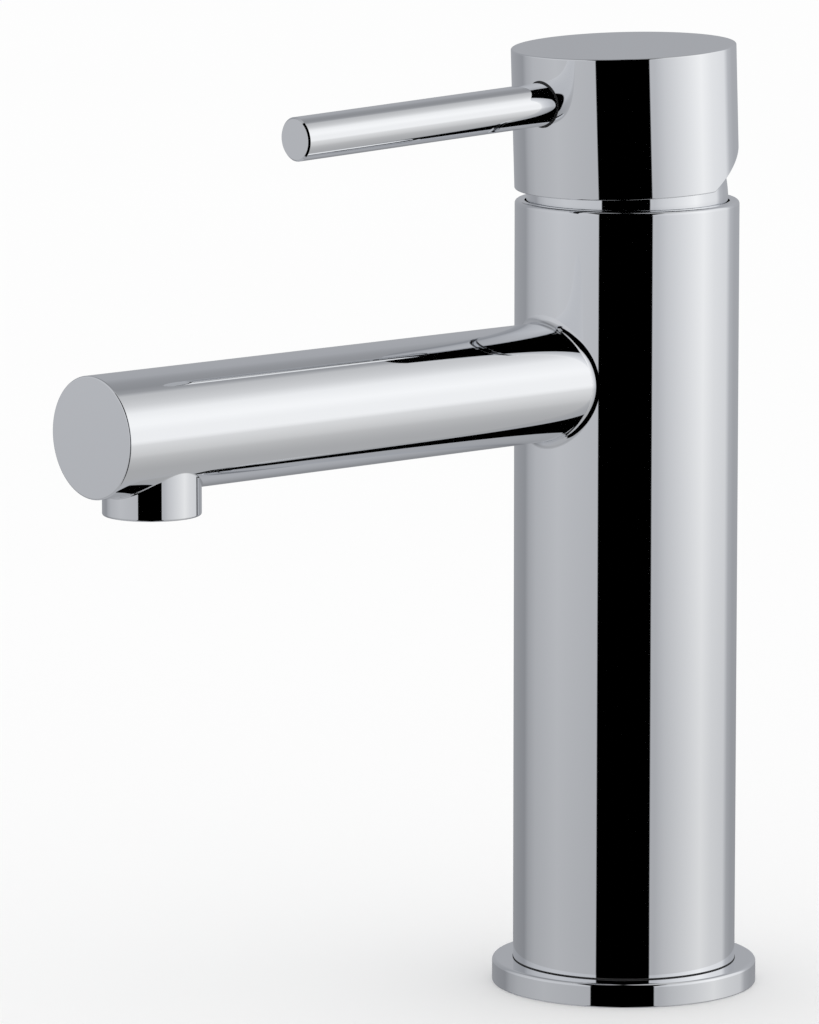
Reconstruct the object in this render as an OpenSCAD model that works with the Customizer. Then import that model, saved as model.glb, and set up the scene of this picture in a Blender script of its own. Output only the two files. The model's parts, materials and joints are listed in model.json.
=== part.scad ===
// Single-lever basin mixer tap with a pin lever.
// The origin is the centre of the flange's underside, +Z is up and the spout points along +X.
// All sizes are in millimetres.

/* [Body] */
// Outer diameter of the body tube and of the handle cap
body_d = 45; // [44:0.5:60]
// Height of the body tube's top edge above the washbasin
body_height = 159.6; // [130:0.2:220]
// Wall of the body tube
body_wall = 2; // [1.6:0.1:2.5]
// Rounding of the body tube's top edge
body_edge_r = 0.8; // [0.3:0.1:0.9]

/* [Base flange] */
// How far the flange stands out past the body
flange_overhang = 4.25; // [3:0.25:10]
// Thickness of the flange
flange_h = 4.8; // [4:0.2:8]
// Rounding of the flange's top edge
flange_edge_r = 0.7; // [0.3:0.1:1]
// Depth of the pocket that the body tube stands in
flange_pocket = 2.4; // [1.5:0.1:3]
// Diameter of the opening for the hoses and the fixing stud
hose_opening_d = 36; // [34:0.5:37]
// Thickness of the gasket under the flange
gasket_h = 1.2; // [0.8:0.1:1.5]
// Width of that gasket
gasket_w = 4; // [2.5:0.25:4.5]

/* [Spout] */
// Outer diameter of the spout tube
spout_d = 23.7; // [20:0.1:30]
// Wall of the spout tube
spout_wall = 2; // [1.5:0.1:2.5]
// From the body's axis to the centre of the outlet
spout_reach = 122.8; // [90:0.2:180]
// From the outlet's centre to the spout's tip
spout_overhang = 14.7; // [13:0.1:25]
// From the cartridge seat down to the spout's axis
spout_drop = 8.3; // [8.2:0.1:14]
// Rounding of the spout's tip edge
spout_edge_r = 0.5; // [0.2:0.1:1]
// Thickness of the plug that closes the tip
tip_plug_h = 4; // [2:0.25:8]
// Diameter of the nipple that carries the water into the spout
nipple_d = 12.4; // [11:0.1:13]
// Bore of that nipple
nipple_bore_d = 9.6; // [8:0.1:10.4]

/* [Outlet] */
// Outer diameter of the outlet collar
collar_d = 19.05; // [18.5:0.05:23]
// How far the collar stands below the spout
collar_drop = 4.3; // [3:0.1:8]
// Thread diameter of the recessed aerator
aerator_d = 16.5; // [14:0.5:17.5]
// Height of the aerator's housing
aerator_h = 8; // [7:0.25:10]
// How far the aerator sits inside the collar
aerator_recess = 0.6; // [0.2:0.1:2]

/* [Cartridge] */
// Outer diameter of the cartridge housing
cartridge_d = 35; // [34:0.5:36]
// Height of the lever's pivot above the body's top edge
pivot_rise = 0.4; // [0:0.1:2]
// From the lever's pivot down to the cartridge seat
seat_drop = 27; // [26:0.25:34]
// Width across the spindle's square
spindle_w = 8; // [6:0.1:8.4]
// Diameter of the spindle's pivot pin
pin_d = 3.5; // [3:0.1:4.2]
// From the pivot down to the spindle's round foot
foot_drop = 10.5; // [10:0.1:11]
// Diameter of that foot
foot_d = 5; // [4:0.1:6]
// Diameter of the moving ceramic disc
disc_d = 23; // [22:0.1:23.4]
// Thickness of each ceramic disc
disc_h = 3; // [2.5:0.1:3.2]

/* [Handle] */
// Height of the handle cap
cap_h = 28; // [22:0.25:40]
// Gap between the body and the cap when the cap is level
cap_gap = 2.9; // [2:0.1:5]
// Clearance between the dome cover and the cap's wall
dome_clearance = 0.4; // [0.3:0.05:1]
// Thickness of the cap's top plate
cap_top = 3; // [2:0.1:4]
// Height of the dome cover's rim above the pivot
dome_rise = 12; // [8:0.25:12]
// Height of the spindle socket's mouth above the pivot
socket_rise = 15; // [15:0.25:17]
// Slope of the relief at the back of the cap's bottom edge
relief_slope = 29; // [27:0.5:34]
// Distance behind the axis at which that relief starts
relief_start = 3.4; // [1:0.1:5]
// How far the closed cap leans towards the spout
closed_droop = 2.16; // [0:0.02:3]
// Diameter of the pin lever
lever_d = 8.63; // [6:0.01:10.5]
// From the body's axis to the lever's tip
lever_reach = 86.2; // [60:0.2:120]
// From the cap's top down to the lever's axis
lever_drop = 9.45; // [8.5:0.05:11]
// Thread diameter of the lever's tail and of the grub screw
lever_thread_d = 6; // [5:0.1:6.4]
// Chamfer around the lever's tip
lever_chamfer = 0.35; // [0.1:0.05:0.8]

/* [Supply] */
// Diameter of the threaded hose ports
hose_port_d = 9; // [8:0.1:9.6]
// Depth of each hose port
hose_port_depth = 10; // [8:0.5:12]
// Distance between the two hose ports
hose_spacing = 17; // [16:0.25:18]
// Diameter of the threaded hole for the fixing stud
stud_hole_d = 6.8; // [5:0.1:7.4]
// Depth of the stud hole
stud_hole_depth = 14; // [10:0.5:16]

/* [Fits] */
// Radial clearance of pieces that turn in one another
running_fit = 0.05; // [0.02:0.01:0.1]
// Clearance on each side of a sliding foot or block
sliding_fit = 0.08; // [0.07:0.01:0.12]
// Radial gap of brazed, threaded and seated joints
seated_fit = 0.03; // [0.01:0.01:0.1]
// Gap between flat faces that rub on each other
face_fit = 0.02; // [0.01:0.01:0.1]

/* [Hidden] */
$fn = 96;
e = 0.01;                                  // overrun that keeps cuts from sharing a face
far = 400;                                 // longer than anything that is cut

body_r = body_d / 2;
bore_r = body_r - body_wall;
core_r = bore_r - seated_fit;
flange_r = body_r + flange_overhang;
ledge_z = flange_h - flange_pocket;
gasket_in_r = hose_opening_d / 2 + 2;      // gasket groove, from its inner wall
gasket_out_r = gasket_in_r + gasket_w;     // to its outer wall

pivot_z = body_height + pivot_rise;
seat_z = pivot_z - seat_drop;
cartridge_r = cartridge_d / 2;
cup_r = cartridge_r + 0.1;                 // bore of the cup that holds the cartridge

spout_r = spout_d / 2;
spout_bore_r = spout_r - spout_wall;
spout_z = seat_z - spout_drop;
tip_x = spout_reach + spout_overhang;
nipple_r = nipple_d / 2;
nipple_in = 9.5;                           // the nipple's inner end, from the body's axis
nipple_out = body_r + 9;                   // its collar's far end, inside the spout
nipple_step_x = body_r + 1;                // where that collar starts
gallery_r = 3.6;                           // drilling that leads to the nipple
core_below = 20.7;                         // from the spout's axis to the core's underside
core_z = spout_z - core_below;
stud_x = -13;                              // stud hole, behind the body's axis

collar_r = collar_d / 2;
collar_z = spout_z - spout_r - collar_drop;
collar_top = spout_z - 2.3;
collar_edge_r = 0.4;
aerator_r = aerator_d / 2;
aerator_z = collar_z + aerator_recess;
aerator_top = aerator_z + aerator_h;
aerator_bore_r = aerator_r - 1.2;
aerator_mouth_r = aerator_bore_r - 0.6;
aerator_seal_h = 1;
key_slot_depth = 0.9;                      // four slots for the aerator's key
key_slot_w = 2;
key_slot_h = 0.7;
grid_h = 1.5;
grid_lip = 0.8;                            // lip under the grid
grid_hole_r = 0.7;
grid_pitch = 1.9;
grid_rings = 3;
screen_h = 0.3;
screen_gap = 0.5;                          // from one screen's underside to the next
screen_count = 3;
screen_hole_r = 0.5;
screen_pitch = 2;
screen_rings = 2;
regulator_h = 1.6;
regulator_cone_r = 3;
regulator_cone_top_r = 1;
regulator_cone_h = 1.4;
jet_r = 0.6;
jet_circle_r = 4.6;

base_h = 4.2;                              // cartridge base, without its rim
rim_h = 1.8;                               // rim around the fixed disc
rim_w = 1.4;
rim_root = 1;                              // how far the rim reaches down into the base
seal_h = 1.2;
seal_w = 1.2;
seal_margin = 0.4;                         // from a port's edge to the seal around it
housing_wall = 1.6;
housing_r = cartridge_r - housing_wall;
ring_w = 1.9;                              // temperature limit ring
ring_lift = 0.4;                           // its clearance over the disc carrier
disc_z = seat_z + base_h;
moving_z = disc_z + disc_h + face_fit;
carrier_z = moving_z + disc_h;
carrier_h = 3;
carrier_step = 0.4;                        // from the disc's edge in to the carrier's
channel_back = 3.9;                        // pocket that joins the ports, behind the disc's centre
channel_margin = 4.6;                      // from its edge to the disc's
channel_h = 1.6;
peg_y = 7;                                 // two pegs drive the moving disc
peg_r = 1.2;
peg_h = 1.2;
peg_root = 1;
block_top = pivot_z - foot_drop + 0.5;     // top of the carrier's block, beside the foot
slot_play = 0.3;                           // below the spindle's foot and above the block
slot_end_play = 0.4;                       // at each end of the block's slot
guide_z = carrier_z + carrier_h + face_fit;
guide_flange_h = 3.5;
plate_z = guide_z + guide_flange_h + face_fit;
plate_h = 2.8;
housing_top = plate_z + plate_h;
neck_top = housing_top + 3.5;
guide_r = 11.5;
guide_flange_r = housing_r - ring_w - 0.3;
guide_step = 1.3;                          // how far the stop key stands out from the guide
guide_top = pivot_z + 4;
key_w = 4;                                 // stop key on the guide
key_l = 4;
stop_w = 2.5;                              // stops in the temperature limit ring
stop_l = 2;
stop_reach = 1;
spindle_swing = 3.4;                       // room for the tilting spindle, fore and aft
neck_bore_r = guide_r + running_fit;
neck_r = neck_bore_r + 1.95;
neck_root = 1;                             // how far the neck reaches down into the housing
inlet_x = 4;
inlet_y = 7;
inlet_r = 2.2;
outlet_x = -6.5;
outlet_r = 3.6;
PORTS = [[inlet_x, inlet_y, inlet_r], [inlet_x, -inlet_y, inlet_r], [outlet_x, 0, outlet_r]];

pin_r = pin_d / 2;
foot_r = foot_d / 2;
foot_relief = 0.4;                         // how much thinner the spindle is above its foot
spindle_shoulder = 2;                      // from the pivot down to where the square ends
block_x = foot_r + 2.1;
block_y = 4.6;
foot_rest_x = -foot_drop * sin(closed_droop);
tilt_travel = 25;                          // degrees from closed to fully open
foot_open_x = foot_drop * sin(tilt_travel - closed_droop);
turn_travel = 45;                          // degrees each way from straight ahead
stop_gap = turn_travel + 9.5;              // from straight ahead to each stop, past half the key
pin_half = sqrt(guide_r * guide_r - pin_r * pin_r) - 0.3;

cup_top = housing_top + 4;
nut_top = cup_top + 3.6;
nut_collar_r = cartridge_r - 1;
nut_clearance = 0.2;                       // around the housing's neck
nut_slot_w = 3;
nut_slot_depth = 1.5;

dome_r = bore_r - 0.3;
dome_wall = 1.8;
dome_foot_z = cup_top + face_fit;
dome_top_z = pivot_z + dome_rise;
dome_seal_r = dome_r - dome_wall - 0.35;
dome_seal_z = cup_top + 1;
dome_seal_h = 1.6;

cap_r = body_r;
cap_bore_r = dome_r + dome_clearance;
cap_z = body_height + cap_gap;
cap_top_z = cap_z + cap_h;
cap_edge_r = 0.3;
lever_r = lever_d / 2;
lever_z = cap_top_z - lever_drop;
boss_z = pivot_z + socket_rise;
boss_r = spindle_w / 2 + 3;
arm_r = lever_r + 2.2;
arm_x = cap_bore_r + 0.5;                  // the arm's far end, inside the cap's wall
thread_r = lever_thread_d / 2;
lever_hole_r = lever_r + 0.35;
lever_floor_x = cap_bore_r - 1.1;
lever_root = 1;                            // how far the tail overlaps the lever's rod
socket_half = spindle_w / 2 + 0.05;
spindle_top = lever_z + thread_r + 0.6;
socket_top = spindle_top + 0.1;
screw_l = 6;
hex_r = 1.7;                               // hexagon socket of the grub screw
hex_depth = 2.5;
tail_x = socket_half + screw_l + 1;

// A washer or tube from z upwards, standing on the Z axis.
module ring(r_out, r_in, z, h) {
    translate([0, 0, z])
        difference() {
            cylinder(r = r_out, h = h);
            translate([0, 0, -e])
                cylinder(r = r_in, h = h + 2 * e);
        }
}

// A solid disc of radius r and height h whose top edge is rounded by edge.
module rounded_disc(r, h, edge) {
    rotate_extrude()
        union() {
            square([r - edge, h]);
            square([r, h - edge]);
            translate([r - edge, h - edge])
                intersection() {
                    circle(r = edge);
                    square([edge, edge]);
                }
        }
}

// A round bar, or a round hole to be cut, of radius r between two heights.
module bar_z(x, y, r, z_low, z_high) {
    translate([x, y, z_low])
        cylinder(r = r, h = z_high - z_low);
}

// Turns what is built around the upright cap to the lean it has when the tap is closed.
module leaning() {
    translate([0, 0, pivot_z])
        rotate([0, closed_droop, 0])
            translate([0, 0, -pivot_z])
                children();
}

// A bar of radius r along +X between two distances from the body's axis.
module bar_x(r, z, x_low, x_high) {
    translate([x_low, 0, z])
        rotate([0, 90, 0])
            cylinder(r = r, h = x_high - x_low);
}

// Flange with a pocket for the body tube and a groove for its gasket.
module base_flange() {
    color("silver")
        difference() {
            rounded_disc(flange_r, flange_h, flange_edge_r);
            bar_z(0, 0, hose_opening_d / 2, -e, flange_h + e);
            bar_z(0, 0, body_r + seated_fit, ledge_z, flange_h + e);
            ring(gasket_out_r, gasket_in_r, -e, gasket_h + e);
        }
}

// Flat rubber gasket, flush with the flange's underside.
module base_gasket() {
    color("dimgray")
        ring(gasket_out_r - seated_fit, gasket_in_r + seated_fit, 0, gasket_h - face_fit);
}

// Body tube with its rounded top edge and the cross hole for the nipple.
module body_tube() {
    color("silver")
        difference() {
            translate([0, 0, ledge_z])
                rounded_disc(body_r, body_height - ledge_z, body_edge_r);
            bar_z(0, 0, bore_r, ledge_z - e, body_height + e);
            bar_x(nipple_r + seated_fit, spout_z, 0, body_r + e);
        }
}

// Brass core: the cup for the cartridge above, hose ports and stud hole below.
module waterway_core() {
    color("goldenrod")
        difference() {
            bar_z(0, 0, core_r, core_z, cup_top);
            bar_z(0, 0, cup_r, seat_z, cup_top + e);
            for (port = PORTS)
                bar_z(port[0], port[1], port[2], port[0] > 0 ? core_z + e : spout_z, seat_z + e);
            bar_x(gallery_r, spout_z, outlet_x, body_r);
            bar_x(nipple_r + seated_fit, spout_z, nipple_in, body_r);
            for (side = [-1, 1])
                bar_z(inlet_x, side * hose_spacing / 2, hose_port_d / 2,
                      core_z - e, core_z + hose_port_depth);
            bar_z(stud_x, 0, stud_hole_d / 2, core_z - e, core_z + stud_hole_depth);
        }
}

// Stepped bush through the body's wall, with a collar that centres the spout tube.
module spout_nipple() {
    color("goldenrod")
        difference() {
            union() {
                bar_x(nipple_r, spout_z, nipple_in, nipple_out);
                bar_x(spout_bore_r - seated_fit, spout_z, nipple_step_x, nipple_out);
            }
            bar_x(nipple_bore_d / 2, spout_z, nipple_in - e, nipple_out + e);
        }
}

// Spout tube, coped to the body at one end and rounded at the tip.
module spout_tube() {
    color("silver")
        difference() {
            translate([0, 0, spout_z])
                rotate([0, 90, 0])
                    rounded_disc(spout_r, tip_x, spout_edge_r);
            bar_z(0, 0, body_r + face_fit, 0, body_height);
            bar_x(spout_bore_r, spout_z, 0, tip_x + e);
            bar_z(spout_reach, 0, collar_r + seated_fit, 0, collar_top);
        }
}

// Plug brazed into the spout's tip and ground flush with it.
module spout_tip_plug() {
    color("silver")
        bar_x(spout_bore_r - seated_fit, spout_z, tip_x - tip_plug_h, tip_x);
}

// Bush through the spout's underside, threaded inside for the aerator.
module outlet_collar() {
    color("silver")
        translate([spout_reach, 0, 0])
            difference() {
                translate([0, 0, collar_top])
                    mirror([0, 0, 1])
                        rounded_disc(collar_r, collar_top - collar_z, collar_edge_r);
                bar_z(0, 0, aerator_r + seated_fit, collar_z - e, aerator_top + aerator_seal_h);
                bar_z(0, 0, aerator_bore_r, collar_z, collar_top + e);
            }
}

// Plastic aerator housing with four key slots around its mouth.
module aerator_housing() {
    color("gainsboro")
        translate([spout_reach, 0, 0])
            difference() {
                bar_z(0, 0, aerator_r, aerator_z, aerator_top);
                bar_z(0, 0, aerator_bore_r, aerator_z + grid_lip, aerator_top + e);
                bar_z(0, 0, aerator_mouth_r, aerator_z - e, aerator_z + grid_lip + e);
                for (turn = [0 : 90 : 270])
                    rotate([0, 0, turn])
                        translate([aerator_r - key_slot_depth, -key_slot_w / 2, aerator_z - e])
                            cube([key_slot_depth + e, key_slot_w, key_slot_h]);
            }
}

// Rings of round holes for a grid or screen: one in the middle, then six more in each ring.
module perforations(hole_r, pitch, rings, z_low, z_high) {
    bar_z(0, 0, hole_r, z_low, z_high);
    for (ring_number = [1 : rings])
        for (hole = [1 : 6 * ring_number])
            rotate([0, 0, 60 * hole / ring_number])
                bar_z(pitch * ring_number, 0, hole_r, z_low, z_high);
}

// Grid that straightens the water as it leaves.
module aerator_outlet_grid() {
    color("whitesmoke")
        translate([spout_reach, 0, 0])
            difference() {
                bar_z(0, 0, aerator_bore_r - seated_fit, aerator_z + grid_lip,
                      aerator_z + grid_lip + grid_h);
                perforations(grid_hole_r, grid_pitch, grid_rings, aerator_z,
                             aerator_z + grid_lip + grid_h + e);
            }
}

// Thin steel screens stacked above the grid.
module aerator_screens() {
    color("lightgray")
        translate([spout_reach, 0, aerator_z + grid_lip + grid_h + face_fit])
            for (layer = [0 : screen_count - 1])
                difference() {
                    bar_z(0, 0, aerator_bore_r - seated_fit, layer * screen_gap,
                          layer * screen_gap + screen_h);
                    perforations(screen_hole_r, screen_pitch, screen_rings, layer * screen_gap - e,
                                 layer * screen_gap + screen_h + e);
                }
}

// Disc with a cone and a ring of jets, which limits the flow.
module aerator_flow_regulator() {
    regulator_z = aerator_z + grid_lip + grid_h + screen_count * screen_gap + 2 * face_fit;
    color("deepskyblue")
        translate([spout_reach, 0, regulator_z])
            difference() {
                union() {
                    cylinder(r = aerator_bore_r - seated_fit, h = regulator_h);
                    translate([0, 0, regulator_h])
                        cylinder(r1 = regulator_cone_r, r2 = regulator_cone_top_r,
                                 h = regulator_cone_h);
                }
                for (jet = [0 : 45 : 315])
                    rotate([0, 0, jet])
                        bar_z(jet_circle_r, 0, jet_r, -e, regulator_h + e);
            }
}

// Flat washer between the aerator and the collar's ledge.
module aerator_seal() {
    color("dimgray")
        translate([spout_reach, 0, 0])
            ring(aerator_r - seated_fit, aerator_bore_r, aerator_top + face_fit,
                 aerator_seal_h - 2 * face_fit);
}

// One seal around each port of the cartridge, from height z upwards.
module seals(z, h) {
    for (port = PORTS)
        translate([port[0], port[1], 0])
            ring(port[2] + seal_margin + seal_w, port[2] + seal_margin, z, h);
}

// Seals between the cartridge and its seat in the core.
module port_seals() {
    color("black")
        seals(seat_z, seal_h - face_fit);
}

// Plastic base of the cartridge, with its ports and seal grooves.
module cartridge_base() {
    color("white")
        difference() {
            union() {
                bar_z(0, 0, cartridge_r, seat_z, disc_z);
                ring(housing_r - seated_fit, housing_r - seated_fit - rim_w, disc_z - rim_root,
                     rim_h + rim_root);
            }
            for (port = PORTS)
                bar_z(port[0], port[1], port[2], seat_z - e, disc_z + e);
            seal_grooves(seat_z - e, seal_h + e);
            seal_grooves(disc_z - seal_h, seal_h + e);
        }
}

// Grooves a hair wider than the seals that sit in them.
module seal_grooves(z, h) {
    for (port = PORTS)
        translate([port[0], port[1], 0])
            ring(port[2] + seal_margin + seal_w + seated_fit,
                 port[2] + seal_margin - seated_fit, z, h);
}

// Seals between the cartridge base and the fixed disc.
module disc_seals() {
    color("black")
        seals(disc_z - seal_h + face_fit, seal_h - face_fit);
}

// Fixed ceramic disc, which has the three ports.
module fixed_ceramic_disc() {
    color("ivory")
        difference() {
            bar_z(0, 0, housing_r - 2 * seated_fit - rim_w, disc_z, disc_z + disc_h);
            for (port = PORTS)
                bar_z(port[0], port[1], port[2], disc_z - e, disc_z + disc_h + e);
        }
}

// Moving ceramic disc, with the pocket that joins the inlets to the outlet.
module moving_ceramic_disc() {
    channel_r = disc_d / 2 - channel_margin;
    color("ivory")
        difference() {
            bar_z(foot_rest_x, 0, disc_d / 2, moving_z, moving_z + disc_h);
            bar_z(foot_rest_x - channel_back, 0, channel_r, moving_z - e, moving_z + channel_h);
            for (side = [-1, 1])
                bar_z(foot_rest_x, side * peg_y, peg_r, carrier_z - peg_h - 0.1, carrier_z + e);
        }
}

// Plastic carrier that the spindle's foot pushes and that drives the moving disc.
module disc_carrier() {
    color("orange")
        difference() {
            union() {
                bar_z(foot_rest_x, 0, disc_d / 2 - carrier_step, carrier_z, carrier_z + carrier_h);
                translate([foot_rest_x - block_x, -block_y, carrier_z])
                    cube([2 * block_x, 2 * block_y, block_top - carrier_z]);
                for (side = [-1, 1])
                    bar_z(foot_rest_x, side * peg_y, peg_r - seated_fit, carrier_z - peg_h,
                          carrier_z + peg_root);
            }
            translate([foot_rest_x - foot_r - sliding_fit, -block_y - e,
                       pivot_z - foot_drop - foot_r - slot_play])
                cube([2 * (foot_r + sliding_fit), 2 * (block_y + e), far]);
        }
}

// Plastic housing that closes the cartridge and holds the guide's neck.
module cartridge_housing() {
    color("white")
        difference() {
            union() {
                bar_z(0, 0, cartridge_r, disc_z, housing_top);
                bar_z(0, 0, neck_r, housing_top - neck_root, neck_top);
            }
            bar_z(0, 0, housing_r, disc_z - e, plate_z);
            bar_z(0, 0, neck_bore_r, disc_z, neck_top + e);
        }
}

// Ring with two stops that limits how far the lever turns towards hot and cold.
module temperature_limit_ring() {
    color("red")
        intersection() {
            union() {
                ring(housing_r - seated_fit, housing_r - ring_w + seated_fit, guide_z + ring_lift,
                     guide_flange_h - ring_lift);
                for (side = [-1, 1])
                    rotate([0, 0, 180 + side * stop_gap])
                        translate([guide_flange_r - stop_reach, side > 0 ? 0 : -stop_w,
                                   guide_z + ring_lift])
                            cube([stop_l, stop_w, guide_flange_h - ring_lift]);
            }
            bar_z(0, 0, housing_r - seated_fit, guide_z, plate_z);
        }
}

// Turning guide: it holds the pivot pin and guides the disc carrier in a straight line.
module lever_guide() {
    color("mediumpurple")
        difference() {
            union() {
                bar_z(0, 0, guide_flange_r - guide_step, guide_z, guide_z + guide_flange_h);
                bar_z(0, 0, guide_r, guide_z, guide_top);
                translate([-guide_flange_r + 0.1, -key_w / 2, guide_z + ring_lift])
                    cube([key_l, key_w, guide_flange_h - ring_lift]);
            }
            translate([foot_rest_x - block_x - slot_end_play, -block_y - sliding_fit, guide_z - e])
                cube([foot_open_x - foot_rest_x + 2 * (block_x + slot_end_play),
                      2 * (block_y + sliding_fit), block_top + slot_play - guide_z]);
            translate([-spindle_w / 2 - spindle_swing, -spindle_w / 2 - sliding_fit, guide_z])
                cube([spindle_w + 2 * spindle_swing, spindle_w + 2 * sliding_fit, far]);
            translate([0, 0, pivot_z])
                rotate([90, 0, 0])
                    cylinder(r = pin_r + seated_fit, h = far, center = true);
        }
}

// Steel pin that the spindle tilts on.
module pivot_pin() {
    color("gray")
        translate([0, 0, pivot_z])
            rotate([90, 0, 0])
                cylinder(r = pin_r, h = 2 * pin_half, center = true);
}

// Square spindle, narrowed below its pivot to a round foot.
module spindle() {
    half = spindle_w / 2;
    color("darkgoldenrod")
        leaning()
            difference() {
                union() {
                    translate([-half, -half, pivot_z - spindle_shoulder])
                        cube([spindle_w, spindle_w, spindle_top - pivot_z + spindle_shoulder]);
                    translate([foot_relief - foot_r, -half, pivot_z - foot_drop])
                        cube([foot_d - 2 * foot_relief, spindle_w, foot_drop]);
                    translate([0, 0, pivot_z - foot_drop])
                        rotate([90, 0, 0])
                            cylinder(r = foot_r, h = spindle_w, center = true);
                }
                translate([0, 0, pivot_z])
                    rotate([90, 0, 0])
                        cylinder(r = pin_r + running_fit, h = far, center = true);
            }
}

// Brass nut that holds the cartridge down in the core's cup.
module retaining_nut() {
    color("goldenrod")
        difference() {
            union() {
                ring(cup_r - seated_fit, neck_r + nut_clearance, housing_top,
                     cup_top - housing_top);
                ring(nut_collar_r, neck_r + nut_clearance, cup_top - e, nut_top - cup_top + e);
            }
            for (turn = [0 : 90 : 270])
                rotate([0, 0, turn])
                    translate([neck_r, -nut_slot_w / 2, nut_top - nut_slot_depth])
                        cube([far, nut_slot_w, nut_slot_depth + e]);
        }
}

// Ring that steadies the dome cover on the nut.
module dome_seal() {
    color("black")
        ring(dome_seal_r, nut_collar_r + seated_fit, dome_seal_z, dome_seal_h);
}

// Ball-shaped cover that fills the gap between the body and the cap at every tilt.
module dome_cover() {
    color("silver")
        intersection() {
            difference() {
                translate([0, 0, pivot_z])
                    sphere(r = dome_r);
                translate([0, 0, pivot_z])
                    sphere(r = dome_r - dome_wall);
            }
            bar_z(0, 0, body_r, dome_foot_z, dome_top_z);
        }
}

// Handle cap: a thin-walled cup with a boss that grips the spindle and takes the lever.
module handle_cap() {
    color("silver")
        leaning()
            difference() {
                union() {
                    difference() {
                        translate([0, 0, cap_z])
                            rounded_disc(cap_r, cap_h, cap_edge_r);
                        bar_z(0, 0, cap_bore_r, cap_z - e, cap_top_z - cap_top);
                    }
                    intersection() {
                        union() {
                            bar_z(0, 0, boss_r, boss_z, cap_top_z - e);
                            bar_x(arm_r, lever_z, 0, arm_x);
                        }
                        bar_z(0, 0, arm_x, boss_z, cap_top_z - cap_edge_r);
                    }
                }
                translate([-socket_half, -socket_half, boss_z - e])
                    cube([2 * socket_half, 2 * socket_half, socket_top - boss_z]);
                bar_x(thread_r + seated_fit, lever_z, 0, cap_r);
                bar_x(lever_hole_r, lever_z, lever_floor_x, cap_r + e);
                translate([-relief_start, 0, cap_z])
                    rotate([0, relief_slope, 0])
                        translate([-far, -far / 2, -far])
                            cube([far, far, far]);
            }
}

// Socket screw that clamps the spindle inside the cap.
module lever_grub_screw() {
    color("gray")
        leaning()
            difference() {
                bar_x(thread_r, lever_z, socket_half, socket_half + screw_l);
                translate([socket_half + screw_l - hex_depth, 0, lever_z])
                    rotate([0, 90, 0])
                        cylinder(r = hex_r, h = hex_depth + e, $fn = 6);
            }
}

// Pin lever: a plain rod with a chamfered tip and a threaded tail.
module pin_lever() {
    color("silver")
        leaning()
            union() {
                bar_x(lever_r, lever_z, lever_floor_x + face_fit, lever_reach - lever_chamfer);
                translate([lever_reach - lever_chamfer, 0, lever_z])
                    rotate([0, 90, 0])
                        cylinder(r1 = lever_r, r2 = lever_r - lever_chamfer, h = lever_chamfer);
                bar_x(thread_r, lever_z, tail_x, lever_floor_x + lever_root);
            }
}

base_flange();
base_gasket();
body_tube();
waterway_core();
spout_nipple();
spout_tube();
spout_tip_plug();
outlet_collar();
aerator_housing();
aerator_outlet_grid();
aerator_screens();
aerator_flow_regulator();
aerator_seal();
port_seals();
cartridge_base();
disc_seals();
fixed_ceramic_disc();
moving_ceramic_disc();
disc_carrier();
cartridge_housing();
temperature_limit_ring();
lever_guide();
pivot_pin();
spindle();
retaining_nut();
dome_seal();
dome_cover();
handle_cap();
lever_grub_screw();
pin_lever();
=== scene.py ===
"""Looks of a single-lever basin mixer in polished chrome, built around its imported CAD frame."""

import json
import math

import bpy
import numpy as np
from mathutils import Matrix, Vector


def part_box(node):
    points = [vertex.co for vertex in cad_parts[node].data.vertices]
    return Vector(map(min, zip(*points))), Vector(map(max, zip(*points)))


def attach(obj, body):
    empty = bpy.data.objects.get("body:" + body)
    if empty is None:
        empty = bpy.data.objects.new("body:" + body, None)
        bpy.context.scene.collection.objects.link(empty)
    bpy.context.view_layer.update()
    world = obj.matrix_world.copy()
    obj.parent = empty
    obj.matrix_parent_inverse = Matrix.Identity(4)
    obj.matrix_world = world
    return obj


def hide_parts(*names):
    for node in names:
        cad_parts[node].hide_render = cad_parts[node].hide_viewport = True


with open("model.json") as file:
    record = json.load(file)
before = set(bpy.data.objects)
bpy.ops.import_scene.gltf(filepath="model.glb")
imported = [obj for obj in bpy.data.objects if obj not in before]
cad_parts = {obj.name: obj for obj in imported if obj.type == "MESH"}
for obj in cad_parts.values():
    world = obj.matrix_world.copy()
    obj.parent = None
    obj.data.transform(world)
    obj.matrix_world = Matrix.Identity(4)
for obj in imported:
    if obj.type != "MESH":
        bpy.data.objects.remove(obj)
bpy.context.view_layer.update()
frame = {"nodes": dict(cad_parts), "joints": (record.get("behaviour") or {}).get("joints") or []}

scene = bpy.context.scene

# ---------------------------------------------------------------------------
# The camera stands in front of the tap, to the right of the spout and a little
# above it, far enough away for a long lens.
VIEW_TURN = math.radians(48.98)
VIEW_RISE = math.radians(9.07)
VIEW_DISTANCE = 1.4942
LENS_MM = 267.5
aim = Vector((0.0577, 0.0, 0.1022))

towards_camera = Vector((
    math.cos(VIEW_RISE) * math.cos(VIEW_TURN),
    math.cos(VIEW_RISE) * math.sin(VIEW_TURN),
    math.sin(VIEW_RISE),
))
lens = bpy.data.cameras.new("camera")
lens.sensor_fit = "AUTO"
lens.sensor_width = 36.0
lens.lens = LENS_MM
lens.clip_start = 0.01
lens.clip_end = 50.0
camera = bpy.data.objects.new("camera", lens)
camera.location = aim + VIEW_DISTANCE * towards_camera
camera.rotation_euler = (-towards_camera).to_track_quat("-Z", "Y").to_euler()
scene.collection.objects.link(camera)
scene.camera = camera
scene.view_settings.view_transform = "Standard"


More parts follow.
